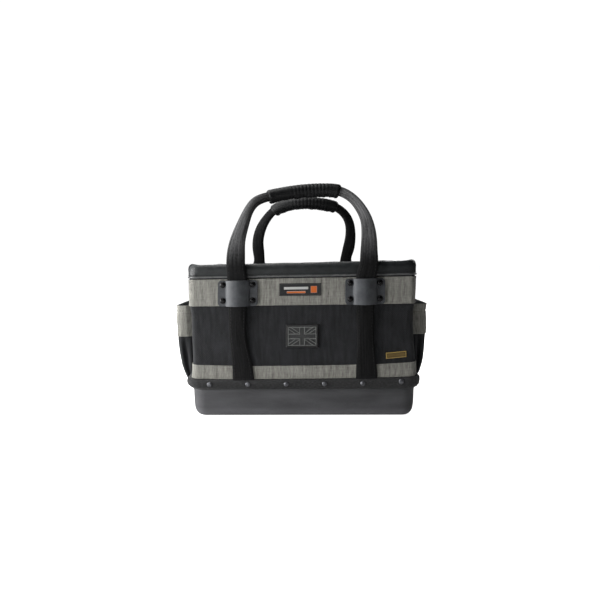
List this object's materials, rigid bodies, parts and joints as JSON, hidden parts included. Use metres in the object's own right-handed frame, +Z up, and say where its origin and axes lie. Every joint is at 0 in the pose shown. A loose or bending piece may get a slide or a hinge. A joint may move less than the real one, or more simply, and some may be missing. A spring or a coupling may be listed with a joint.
{
  "type": "open-top work bag",
  "caption": "Open-top work bag with a moulded tray base, fabric walls with canvas bands, padded rim, webbing handles under riveted brackets and end pockets.",
  "frame": {"origin": "middle of the tray's flat underside, on the floor", "axes": "+X along the bag's length to the right as seen from the front, +Y from the front to the back, +Z up"},
  "size_m": [0.4664, 0.261, 0.4263],
  "materials": {
    "tray": "fine matt moulded grain",
    "ballistic": "coarse black ballistic weave",
    "canvas": "heathered grey canvas",
    "webbing": "ribbed webbing",
    "binding": "coated, satin",
    "bracket": "moulded, satin",
    "black_rivet": "black, semi-gloss",
    "grey_rivet": "dull grey",
    "label": "woven",
    "tag": "gold print",
    "patch": "cast, matt"
  },
  "bodies": {
    "root": {"base_tray": "tray", "front_panel": "ballistic", "back_panel": "ballistic", "end_panel_left": "ballistic", "end_panel_right": "ballistic", "pocket_left": "ballistic", "pocket_right": "ballistic", "upper_band": "canvas", "lower_band_front": "canvas", "lower_band_back": "canvas", "pocket_band_left": "canvas", "pocket_band_right": "canvas", "base_strip": "webbing", "handle_front": "webbing", "handle_back": "webbing", "rim_binding": "binding", "rim_welt": "binding", "grip_front": "binding", "grip_back": "binding", "bracket_front_left": "bracket", "bracket_front_right": "bracket", "bracket_back_left": "bracket", "bracket_back_right": "bracket", "bracket_rivet_front_left_1": "black_rivet", "bracket_rivet_front_left_2": "black_rivet", "bracket_rivet_front_left_3": "black_rivet", "bracket_rivet_front_left_4": "black_rivet", "bracket_rivet_front_right_1": "black_rivet", "bracket_rivet_front_right_2": "black_rivet", "bracket_rivet_front_right_3": "black_rivet", "bracket_rivet_front_right_4": "black_rivet", "bracket_rivet_back_left_1": "black_rivet", "bracket_rivet_back_left_2": "black_rivet", "bracket_rivet_back_left_3": "black_rivet", "bracket_rivet_back_left_4": "black_rivet", "bracket_rivet_back_right_1": "black_rivet", "bracket_rivet_back_right_2": "black_rivet", "bracket_rivet_back_right_3": "black_rivet", "bracket_rivet_back_right_4": "black_rivet", "base_rivet_front_1": "grey_rivet", "base_rivet_front_2": "grey_rivet", "base_rivet_front_3": "grey_rivet", "base_rivet_front_4": "grey_rivet", "base_rivet_front_5": "grey_rivet", "base_rivet_front_6": "grey_rivet", "base_rivet_back_1": "grey_rivet", "base_rivet_back_2": "grey_rivet", "base_rivet_back_3": "grey_rivet", "base_rivet_back_4": "grey_rivet", "base_rivet_back_5": "grey_rivet", "base_rivet_back_6": "grey_rivet", "name_label": "label", "small_tag": "tag", "flag_patch": "patch"}
  },
  "joints": []
}
